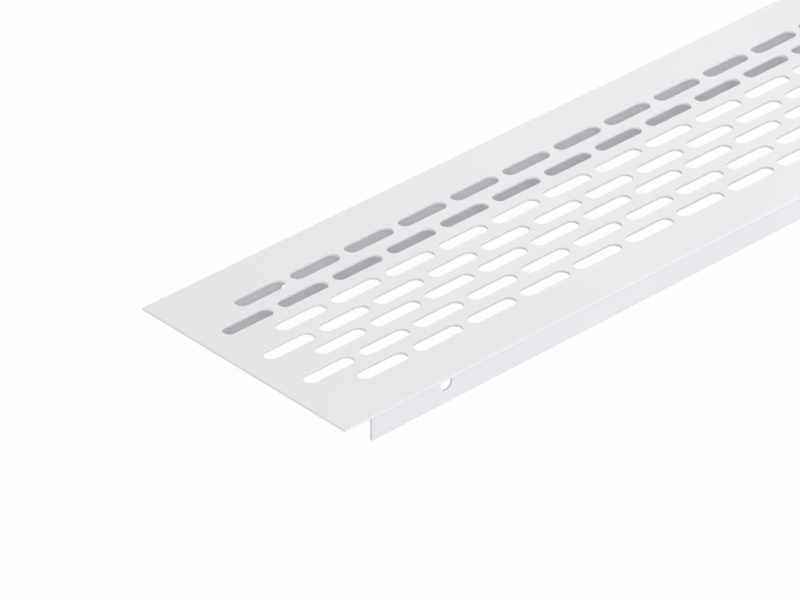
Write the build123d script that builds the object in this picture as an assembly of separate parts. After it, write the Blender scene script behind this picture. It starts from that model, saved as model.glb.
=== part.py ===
"""Furniture vent grille: an extruded channel section with a slotted face and two inset legs.

Millimetres. X runs along the grille, Y across it and Z up out of the slotted face.
The origin is the centre of the underside, on the plane of the leg feet.
"""

from build123d import *
import os
from math import cos, floor, pi, sin

os.makedirs("parts", exist_ok=True)

# Extruded section
length = 500.0
width = 100.0
height = 18.7
face_wall = 1.0
leg_wall = 1.0
rim_overhang = 10.0
edge_radius = 0.25
root_radius = 0.5

# Legs sawn back from both ends, so that the face runs on as a tab
leg_setback = 20.9

# Punched slots, in two banks of rows that meet at a narrower land
slot_length = 21.1
slot_width = 5.5
slot_bridge = 3.63
row_land = 4.7
bank_land = 3.8

# Each round slot end is drawn as equal short flats, which keeps so many slots light
end_flats = 8

# Plain metal left of the first slot, in the rows that start late and early
late_start_land = 24.15
early_start_land = 9.6

# Least metal kept between the slots and the legs, and at the right-hand end
least_leg_land = 4.0
least_end_land = 5.0

# Screw holes through both legs
hole_diameter = 5.3
hole_from_end = 54.3
hole_above_foot = 7.5

# Places that follow from the sizes above
left_end = -length / 2
right_end = length / 2
leg_outer = width / 2 - rim_overhang
leg_inner = leg_outer - leg_wall
face_under = height - face_wall
corner_radius = min(edge_radius, 0.4 * face_wall, 0.4 * leg_wall)
slot_pitch = slot_length + slot_bridge
row_pitch = slot_width + row_land
bank_pitch = slot_width + bank_land

# As many rows as the room between the legs holds, centred on the face
row_room = 2 * (leg_inner - least_leg_land) - slot_width
row_count = floor((row_room - bank_pitch) / row_pitch) + 2
back_rows = (row_count + 1) // 2
row_span = (row_count - 2) * row_pitch + bank_pitch


def row_y(row):
    """Centre line of a row, counted from the back edge."""
    y = row_span / 2 - row * row_pitch
    if row >= back_rows:
        y += row_pitch - bank_pitch
    return y


def row_slots(row):
    """Slot centres along a row, up to the least land at the right-hand end."""
    start_land = late_start_land if row % 2 == 0 else early_start_land
    room = length - start_land - least_end_land
    count = floor((room + slot_bridge) / slot_pitch)
    first = left_end + start_land + slot_length / 2
    return [(first + i * slot_pitch, row_y(row)) for i in range(count)]


def slot_outline():
    """Corners of one slot: its right end from long side to long side, then its left end."""
    radius = slot_width / 2
    reach = slot_length / 2 - radius
    turns = [pi * (0.5 - i / end_flats) for i in range(end_flats + 1)]
    right = [(reach + radius * cos(turn), radius * sin(turn)) for turn in turns]
    left = [(-x, -y) for x, y in right]
    return right + left


slot_centres = [centre for row in range(row_count) for centre in row_slots(row)]
hole_x = right_end - hole_from_end
hole_centres = [(-hole_x, hole_above_foot), (hole_x, hole_above_foot)]

with BuildPart() as grille:
    # Section across the grille, drawn with Y to its right and Z up
    with BuildSketch(Plane.YZ.offset(left_end)) as section:
        with Locations((0, height)):
            Rectangle(width, face_wall, align=(Align.CENTER, Align.MAX))
        with Locations((leg_outer, 0)):
            Rectangle(leg_wall, height, align=(Align.MAX, Align.MIN))
        with Locations((-leg_outer, 0)):
            Rectangle(leg_wall, height, align=(Align.MIN, Align.MIN))
        rim_edge = width / 2 - corner_radius
        roots = [v for v in section.vertices() if abs(v.X) < rim_edge and v.Y > corner_radius]
        fillet(roots, root_radius)
        tips = [v for v in section.vertices() if abs(v.X) > rim_edge or v.Y < corner_radius]
        fillet(tips, corner_radius)
    extrude(amount=length)

    # Legs sawn back square at both ends, up to the underside of the face
    with Locations((left_end, 0, 0), (right_end, 0, 0)):
        Box(2 * leg_setback, width, 2 * face_under, mode=Mode.SUBTRACT)

    # Screw holes drilled across the grille, through both legs
    with BuildSketch(Plane.XZ):
        with Locations(*hole_centres):
            Circle(hole_diameter / 2)
    extrude(amount=width, both=True, mode=Mode.SUBTRACT)

    # Slots punched down through the face
    with BuildSketch(Plane.XY.offset(height)):
        with Locations(*slot_centres):
            Polygon(*slot_outline(), align=None)
    extrude(amount=-face_wall, mode=Mode.SUBTRACT, clean=False)

grille.part.label = "vent_grille"
export_step(grille.part, "parts/vent_grille.step")
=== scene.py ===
"""Looks of the furniture vent grille: a white satin powder coat on a pale studio floor.

Metres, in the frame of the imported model: X along the grille, Y across it, Z up, feet at Z = 0.
"""

import math

import bpy
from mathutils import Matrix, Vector


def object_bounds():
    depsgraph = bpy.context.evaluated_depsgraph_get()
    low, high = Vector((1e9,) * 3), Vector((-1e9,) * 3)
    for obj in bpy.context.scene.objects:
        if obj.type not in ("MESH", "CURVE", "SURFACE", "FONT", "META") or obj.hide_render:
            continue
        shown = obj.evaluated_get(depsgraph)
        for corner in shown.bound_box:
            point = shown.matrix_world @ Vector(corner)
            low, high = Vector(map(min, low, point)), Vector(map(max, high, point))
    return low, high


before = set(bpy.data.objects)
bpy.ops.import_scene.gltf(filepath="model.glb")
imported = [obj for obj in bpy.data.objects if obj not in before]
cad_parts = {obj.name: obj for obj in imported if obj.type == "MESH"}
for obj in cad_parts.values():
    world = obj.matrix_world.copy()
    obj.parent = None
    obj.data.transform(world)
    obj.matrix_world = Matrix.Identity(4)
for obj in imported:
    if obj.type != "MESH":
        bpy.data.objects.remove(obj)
cad_low, cad_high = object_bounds()
middle = (cad_low + cad_high) / 2
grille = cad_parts["vent_grille"]

# Punched and sawn edges, softened by the coat
EDGE_SOFTENING = 0.00015
EDGE_SEGMENTS = 2
EDGE_ANGLE = math.radians(40)
WELD_DISTANCE = 0.000002
FLAT_ANGLE = math.radians(0.5)

# Powder coat: its two tints and its least and most roughness
COAT_LIGHT = (0.83, 0.83, 0.853, 1.0)
COAT_SHADE = (0.81, 0.81, 0.833, 1.0)
COAT_SMOOTHEST = 0.52
COAT_ROUGHEST = 0.64
COAT_SPECULAR = 0.25

# Noise of the coat: features per metre, layers of detail, and the band that most of its values lie in
CLOUD_SCALE = 18.0
CLOUD_DETAIL = 3.0
PEEL_SCALE = 650.0
GRAIN_SCALE = 3200.0
FINE_DETAIL = 2.0
DETAIL_ROUGHNESS = 0.55
NOISE_LOW = 0.3
NOISE_HIGH = 0.7

# Orange peel: depth in metres and the share of it that shows
PEEL_HEIGHT = 0.000012
PEEL_STRENGTH = 0.25

# Studio: FLOOR_WHITE is the share of the floor's look that is plain white, and the rest shows the shadow
WHITE = (1.0, 1.0, 1.0, 1.0)
FLOOR_SIZE = 8.0
FLOOR_COLOUR = (0.86, 0.86, 0.86, 1.0)
FLOOR_WHITE = 0.96
WORLD_STRENGTH = 0.535

# Soft boxes: name, place, width and height, power in watts
LAMPS = (
    ("key_lamp", (-1.9, -1.9, 1.65), (0.9, 0.7), 25.8),
    ("top_lamp", (0.05, 0.0, 0.55), (0.4, 0.4), 0.87),
    ("front_lamp", (0.05, -0.9, 0.2), (0.7, 0.2), 1.7),
    ("right_lamp", (1.3, -0.2, 0.28), (0.7, 0.4), 2.6),
    ("back_lamp", (0.0, 1.2, 0.25), (0.9, 0.2), 2.2),
)

# Camera of the photograph: where it aims on the face, how far away it stands, which way it looks,
# and its lens and sensor in millimetres
AIM_FROM_LEFT_END = 0.0660
AIM_FROM_CENTRE_LINE = -0.0049
CAMERA_DISTANCE = 1.8631
CAMERA_HEADING = math.radians(47.064)
CAMERA_ELEVATION = math.radians(32.516)
CAMERA_LENS = 251.44
SENSOR_WIDTH = 36.0


def add_node(tree, kind, **inputs):
    """A new node with its unlinked inputs set by name."""
    node = tree.nodes.new(kind)
    for name, value in inputs.items():
        node.inputs[name.replace("_", " ")].default_value = value
    return node


def noise(tree, coordinates, scale, detail):
    """A noise texture in object space; its scale is in features per metre."""
    node = add_node(tree, "ShaderNodeTexNoise", Scale=scale, Detail=detail, Roughness=DETAIL_ROUGHNESS)
    tree.links.new(coordinates.outputs["Object"], node.inputs["Vector"])
    return node


def powder_coat():
    """White satin powder coat: faint clouding, uneven gloss and a fine orange peel."""
    material = bpy.data.materials.new("white_powder_coat")
    material.use_nodes = True
    tree = material.node_tree
    shader = tree.nodes["Principled BSDF"]
    shader.inputs["Specular IOR Level"].default_value = COAT_SPECULAR
    coordinates = tree.nodes.new("ShaderNodeTexCoord")

    clouds = noise(tree, coordinates, CLOUD_SCALE, CLOUD_DETAIL)
    tint = tree.nodes.new("ShaderNodeValToRGB")
    shade, light = tint.color_ramp.elements
    shade.position = NOISE_LOW
    shade.color = COAT_SHADE
    light.position = NOISE_HIGH
    light.color = COAT_LIGHT
    tree.links.new(clouds.outputs["Fac"], tint.inputs["Fac"])
    tree.links.new(tint.outputs["Color"], shader.inputs["Base Color"])

    grain = noise(tree, coordinates, GRAIN_SCALE, FINE_DETAIL)
    gloss = add_node(tree, "ShaderNodeMapRange", From_Min=NOISE_LOW, From_Max=NOISE_HIGH)
    gloss.inputs["To Min"].default_value = COAT_SMOOTHEST
    gloss.inputs["To Max"].default_value = COAT_ROUGHEST
    tree.links.new(grain.outputs["Fac"], gloss.inputs["Value"])
    tree.links.new(gloss.outputs["Result"], shader.inputs["Roughness"])

    peel = noise(tree, coordinates, PEEL_SCALE, FINE_DETAIL)
    bump = add_node(tree, "ShaderNodeBump", Strength=PEEL_STRENGTH, Distance=PEEL_HEIGHT)
    tree.links.new(peel.outputs["Fac"], bump.inputs["Height"])
    tree.links.new(bump.outputs["Normal"], shader.inputs["Normal"])
    return material


def outer_edges():
    """A node group that gives a bevel weight to the sharp outward edges alone."""
    group = bpy.data.node_groups.new("outer_edges", "GeometryNodeTree")
    group.interface.new_socket("Geometry", in_out="INPUT", socket_type="NodeSocketGeometry")
    group.interface.new_socket("Geometry", in_out="OUTPUT", socket_type="NodeSocketGeometry")
    given = group.nodes.new("NodeGroupInput")
    result = group.nodes.new("NodeGroupOutput")
    angle = group.nodes.new("GeometryNodeInputMeshEdgeAngle")
    sharp = add_node(group, "FunctionNodeCompare", B=EDGE_ANGLE)
    sharp.operation = "GREATER_THAN"
    weight = add_node(group, "GeometryNodeStoreNamedAttribute", Name="bevel_weight_edge")
    weight.domain = "EDGE"
    group.links.new(angle.outputs["Signed Angle"], sharp.inputs["A"])
    group.links.new(sharp.outputs["Result"], weight.inputs["Value"])
    group.links.new(given.outputs["Geometry"], weight.inputs["Geometry"])
    group.links.new(weight.outputs["Geometry"], result.inputs["Geometry"])
    return group


def soften_edges(piece):
    """Rounds the punched and sawn edges a little, as the coat does.

    The flat faces are made whole first and the bevel isn't clamped, because one short edge would
    otherwise hold back every other.
    """
    weld = piece.modifiers.new("weld", "WELD")
    weld.merge_threshold = WELD_DISTANCE
    whole = piece.modifiers.new("whole_faces", "DECIMATE")
    whole.decimate_type = "DISSOLVE"
    whole.angle_limit = FLAT_ANGLE
    outer = piece.modifiers.new("outer_edges", "NODES")
    outer.node_group = outer_edges()
    bevel = piece.modifiers.new("softened_edges", "BEVEL")
    bevel.width = EDGE_SOFTENING
    bevel.segments = EDGE_SEGMENTS
    bevel.limit_method = "WEIGHT"
    bevel.use_clamp_overlap = False
    bevel.harden_normals = True


def either(tree, first, second):
    """The larger of two outputs."""
    node = tree.nodes.new("ShaderNodeMath")
    node.operation = "MAXIMUM"
    tree.links.new(first, node.inputs[0])
    tree.links.new(second, node.inputs[1])
    return node.outputs[0]


def seen_directly(tree):
    """One for camera, glossy and transmitted rays, and zero for light that bounces on."""
    rays = tree.nodes.new("ShaderNodeLightPath").outputs
    seen = either(tree, rays["Is Camera Ray"], rays["Is Glossy Ray"])
    return either(tree, seen, rays["Is Transmission Ray"])


def floor_material():
    """Pale floor that looks white and keeps a faint shadow, and is see-through from underneath."""
    material = bpy.data.materials.new("studio_floor")
    material.use_nodes = True
    tree = material.node_tree
    tree.nodes.remove(tree.nodes["Principled BSDF"])
    matt = add_node(tree, "ShaderNodeBsdfDiffuse", Color=FLOOR_COLOUR)
    white = add_node(tree, "ShaderNodeEmission", Color=WHITE, Strength=1.0)
    share = tree.nodes.new("ShaderNodeMath")
    share.operation = "MULTIPLY"
    share.inputs[1].default_value = FLOOR_WHITE
    tree.links.new(seen_directly(tree), share.inputs[0])
    mix = tree.nodes.new("ShaderNodeMixShader")
    tree.links.new(share.outputs[0], mix.inputs["Fac"])
    tree.links.new(matt.outputs["BSDF"], mix.inputs[1])
    tree.links.new(white.outputs["Emission"], mix.inputs[2])
    side = tree.nodes.new("ShaderNodeNewGeometry")
    clear = add_node(tree, "ShaderNodeBsdfTransparent", Color=WHITE)
    sided = tree.nodes.new("ShaderNodeMixShader")
    tree.links.new(side.outputs["Backfacing"], sided.inputs["Fac"])
    tree.links.new(mix.outputs["Shader"], sided.inputs[1])
    tree.links.new(clear.outputs["BSDF"], sided.inputs[2])
    tree.links.new(sided.outputs["Shader"], tree.nodes["Material Output"].inputs["Surface"])
    return material


def make_floor():
    """A large plane under the feet of the grille."""
    half = FLOOR_SIZE / 2
    corners = [(-half, -half, 0), (half, -half, 0), (half, half, 0), (-half, half, 0)]
    mesh = bpy.data.meshes.new("studio_floor")
    mesh.from_pydata(corners, [], [(0, 1, 2, 3)])
    mesh.materials.append(floor_material())
    floor = bpy.data.objects.new("studio_floor", mesh)
    bpy.context.scene.collection.objects.link(floor)


def make_world():
    """Even pale surroundings, white where the camera sees them."""
    world = bpy.data.worlds.new("studio")
    world.use_nodes = True
    bpy.context.scene.world = world
    tree = world.node_tree
    light = tree.nodes["Background"]
    light.inputs["Color"].default_value = WHITE
    light.inputs["Strength"].default_value = WORLD_STRENGTH
    seen = add_node(tree, "ShaderNodeBackground", Color=WHITE, Strength=1.0)
    mix = tree.nodes.new("ShaderNodeMixShader")
    tree.links.new(seen_directly(tree), mix.inputs["Fac"])
    tree.links.new(light.outputs["Background"], mix.inputs[1])
    tree.links.new(seen.outputs["Background"], mix.inputs[2])
    tree.links.new(mix.outputs["Shader"], tree.nodes["World Output"].inputs["Surface"])


def soft_box(name, place, size, power):
    """An area lamp of a given width and height that faces the middle of the grille."""
    data = bpy.data.lights.new(name, "AREA")
    data.shape = "RECTANGLE"
    data.size, data.size_y = size
    data.energy = power
    lamp = bpy.data.objects.new(name, data)
    lamp.location = place
    lamp.rotation_euler = (middle - lamp.location).to_track_quat("-Z", "Y").to_euler()
    lamp.visible_camera = False
    bpy.context.scene.collection.objects.link(lamp)


def make_camera():
    """The photograph's view: a long lens, level, looking down across the left end."""
    aim = Vector((cad_low.x + AIM_FROM_LEFT_END, AIM_FROM_CENTRE_LINE, cad_high.z))
    across = math.cos(CAMERA_ELEVATION)
    heading = Vector((math.cos(CAMERA_HEADING), math.sin(CAMERA_HEADING), 0))
    look = heading * across + Vector((0, 0, -math.sin(CAMERA_ELEVATION)))
    data = bpy.data.cameras.new("camera")
    data.sensor_width = SENSOR_WIDTH
    data.lens = CAMERA_LENS
    camera = bpy.data.objects.new("camera", data)
    camera.location = aim - look * CAMERA_DISTANCE
    camera.rotation_euler = look.to_track_quat("-Z", "Y").to_euler()
    bpy.context.scene.collection.objects.link(camera)
    bpy.context.scene.camera = camera


grille.data.materials.clear()
grille.data.materials.append(powder_coat())
soften_edges(grille)
make_floor()
make_world()
for name, place, size, power in LAMPS:
    soft_box(name, place, size, power)
make_camera()
bpy.context.scene.view_settings.view_transform = "Standard"
